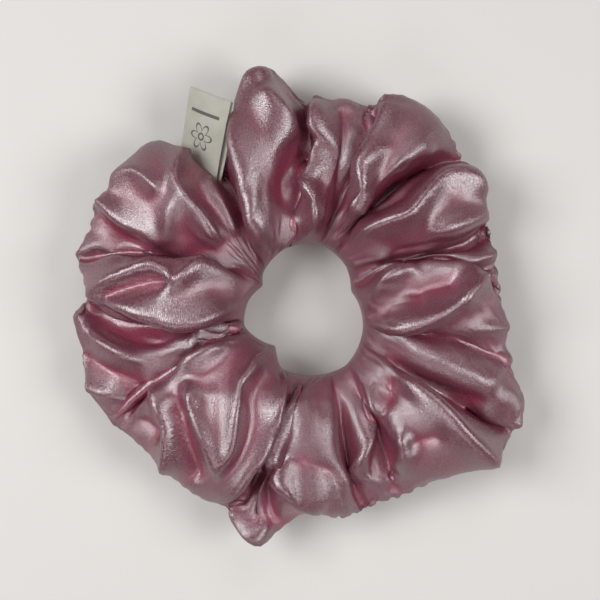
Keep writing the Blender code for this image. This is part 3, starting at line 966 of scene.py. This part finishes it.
def label_material():
    """Cream woven ribbon, with a soft dark print on its front."""
    ribbon = bpy.data.materials.new("label_ribbon")
    ribbon.use_nodes = True
    nodes, links = ribbon.node_tree.nodes, ribbon.node_tree.links
    shader = nodes["Principled BSDF"]
    shader.inputs["Roughness"].default_value = 0.62
    shader.inputs["Sheen Weight"].default_value = 0.15
    place = nodes.new("ShaderNodeUVMap")
    place.uv_map = "UVMap"
    split = nodes.new("ShaderNodeSeparateXYZ")
    links.new(place.outputs["UV"], split.inputs["Vector"])
    print_mask = printed_motif(nodes, links, split.outputs["X"], split.outputs["Y"])
    weave = nodes.new("ShaderNodeTexChecker")
    weave.inputs["Scale"].default_value = 1.0
    stretch = nodes.new("ShaderNodeMapping")
    stretch.inputs["Scale"].default_value = (60.0, 200.0, 1.0)
    links.new(place.outputs["UV"], stretch.inputs["Vector"])
    links.new(stretch.outputs["Vector"], weave.inputs["Vector"])
    tint = nodes.new("ShaderNodeTexNoise")
    tint.inputs["Scale"].default_value = 300.0
    spot = nodes.new("ShaderNodeTexCoord")
    links.new(spot.outputs["Object"], tint.inputs["Vector"])
    cream = nodes.new("ShaderNodeValToRGB")
    cream.color_ramp.elements[0].color = (0.44, 0.425, 0.365, 1.0)
    cream.color_ramp.elements[1].color = (0.57, 0.555, 0.485, 1.0)
    links.new(tint.outputs["Fac"], cream.inputs["Fac"])
    ink = nodes.new("ShaderNodeMix")
    ink.data_type = "RGBA"
    ink.inputs["B"].default_value = (0.045, 0.042, 0.040, 1.0)
    links.new(cream.outputs["Color"], ink.inputs["A"])
    links.new(math_node(nodes, links, "MULTIPLY", print_mask, INK_STRENGTH), ink.inputs["Factor"])
    links.new(ink.outputs["Result"], shader.inputs["Base Color"])
    bump = nodes.new("ShaderNodeBump")
    bump.inputs["Strength"].default_value = 0.5
    bump.inputs["Distance"].default_value = 0.00004
    links.new(weave.outputs["Fac"], bump.inputs["Height"])
    links.new(bump.outputs["Normal"], shader.inputs["Normal"])
    return ribbon


def elastic_material():
    """White knitted elastic: ribs along it, and a finer knit across them, with painted shade darkening the
    sunken gaps between its loops.
    """
    knit = bpy.data.materials.new("elastic_knit")
    knit.use_nodes = True
    nodes, links = knit.node_tree.nodes, knit.node_tree.links
    shader = nodes["Principled BSDF"]
    shader.inputs["Roughness"].default_value = 0.8
    place = nodes.new("ShaderNodeUVMap")
    place.uv_map = "UVMap"
    stretch = nodes.new("ShaderNodeMapping")
    stretch.inputs["Scale"].default_value = (160.0, 14.0, 1.0)
    links.new(place.outputs["UV"], stretch.inputs["Vector"])
    loops = nodes.new("ShaderNodeTexVoronoi")
    loops.inputs["Scale"].default_value = 1.0
    loops.inputs["Randomness"].default_value = 0.2
    links.new(stretch.outputs["Vector"], loops.inputs["Vector"])
    # Painted shade: the white darkens where the knit sinks between its loops.
    knit_white_and_painted_gap_shade = nodes.new("ShaderNodeValToRGB")
    knit_white_and_painted_gap_shade.color_ramp.elements[0].color = (0.82, 0.81, 0.78, 1.0)
    knit_white_and_painted_gap_shade.color_ramp.elements[1].color = (0.55, 0.54, 0.51, 1.0)
    links.new(loops.outputs["Distance"], knit_white_and_painted_gap_shade.inputs["Fac"])
    links.new(knit_white_and_painted_gap_shade.outputs["Color"], shader.inputs["Base Color"])
    bump = nodes.new("ShaderNodeBump")
    bump.invert = True
    bump.inputs["Strength"].default_value = 0.8
    bump.inputs["Distance"].default_value = 0.0002
    links.new(loops.outputs["Distance"], bump.inputs["Height"])
    links.new(bump.outputs["Normal"], shader.inputs["Normal"])
    return knit


# ---------------------------------------------------------------- the stage


def floor():
    """A plain pale floor, as wide as any view of the part."""
    deselect_all()
    bpy.ops.mesh.primitive_plane_add(size=3.0, location=(0.0, 0.0, 0.0))
    ground = bpy.context.active_object
    ground.name = "floor"
    pale = bpy.data.materials.new("floor")
    pale.use_nodes = True
    shader = pale.node_tree.nodes["Principled BSDF"]
    shader.inputs["Base Color"].default_value = (0.80, 0.78, 0.75, 1.0)
    shader.inputs["Roughness"].default_value = 0.9
    ground.data.materials.append(pale)


def softbox(name, place, size, power):
    """A square soft light, turned to face the part."""
    lamp = bpy.data.lights.new(name, "AREA")
    lamp.size = size
    lamp.energy = power
    obj = bpy.data.objects.new(name, lamp)
    bpy.context.scene.collection.objects.link(obj)
    obj.location = place
    obj.rotation_euler = Vector(place).to_track_quat("Z", "Y").to_euler()


def camera():
    """A camera looking straight down."""
    view = bpy.data.cameras.new("camera")
    view.lens = 85.0
    obj = bpy.data.objects.new("camera", view)
    bpy.context.scene.collection.objects.link(obj)
    obj.location = (0.0, 0.0006, 0.368)
    bpy.context.scene.camera = obj


def studio():
    """A dim white room with four soft lights."""
    sky = bpy.data.worlds.new("studio")
    sky.use_nodes = True
    sky.node_tree.nodes["Background"].inputs["Color"].default_value = (1.0, 1.0, 1.0, 1.0)
    sky.node_tree.nodes["Background"].inputs["Strength"].default_value = 0.06
    bpy.context.scene.world = sky
    softbox("left_light", (-0.36, 0.06, 0.48), 0.30, 2.15)
    softbox("top_light", (0.10, 0.36, 0.50), 0.26, 0.4)
    softbox("right_light", (0.40, -0.06, 0.46), 0.30, 1.55)
    softbox("front_light", (-0.10, -0.42, 0.48), 0.26, 0.5)
    bpy.context.scene.view_settings.view_transform = "Standard"


def blend_round_the_ring(piece):
    """Bakes a piece's placement into its mesh."""
    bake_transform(piece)


def finish_piece(piece, material, slot, *nodes):
    """Gives a piece its material, and lets it stand for its CAD nodes by hiding them; its slot is not used.
    """
    piece.data.materials.clear()
    piece.data.materials.append(material)
    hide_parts(*nodes)


# ---------------------------------------------------------------- the pieces


satin = satin_material()
plies_with_painted_shade = thread_plies_with_painted_shade()
pink = strand_material("pink_thread", plies_with_painted_shade, (0.46, 0.16, 0.22), 0.5)
white = strand_material("white_thread", plies_with_painted_shade, (0.74, 0.72, 0.68), 0.6)

cover, grid = make_cover()
finish_piece(cover, satin, "satin", "cover_label_half", "cover_closing_half")
blend_round_the_ring(cover)

elastic = make_elastic()
finish_piece(elastic, elastic_material(), "elastic_knit", "elastic_band")
blend_round_the_ring(elastic)

lap_stitches = make_lap_stitches()
finish_piece(lap_stitches, white, "white_thread", "elastic_lap_stitches")
blend_round_the_ring(lap_stitches)

seam_thread = make_seam_thread(grid)
finish_piece(seam_thread, pink, "pink_thread", "tube_seam_thread")
blend_round_the_ring(seam_thread)

end_join = make_end_join(grid)
finish_piece(end_join, pink, "pink_thread", "end_join_thread")
blend_round_the_ring(end_join)

closing = make_closing_stitches(grid)
finish_piece(closing, pink, "pink_thread", "closing_stitches")
blend_round_the_ring(closing)

label = make_label()
finish_piece(label, label_material(), "label_ribbon", "label")
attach(label, "label")

label_stitches = make_label_stitches()
finish_piece(label_stitches, white, "white_thread", "label_stitches")
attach(label_stitches, "label_half")

floor()
studio()
camera()
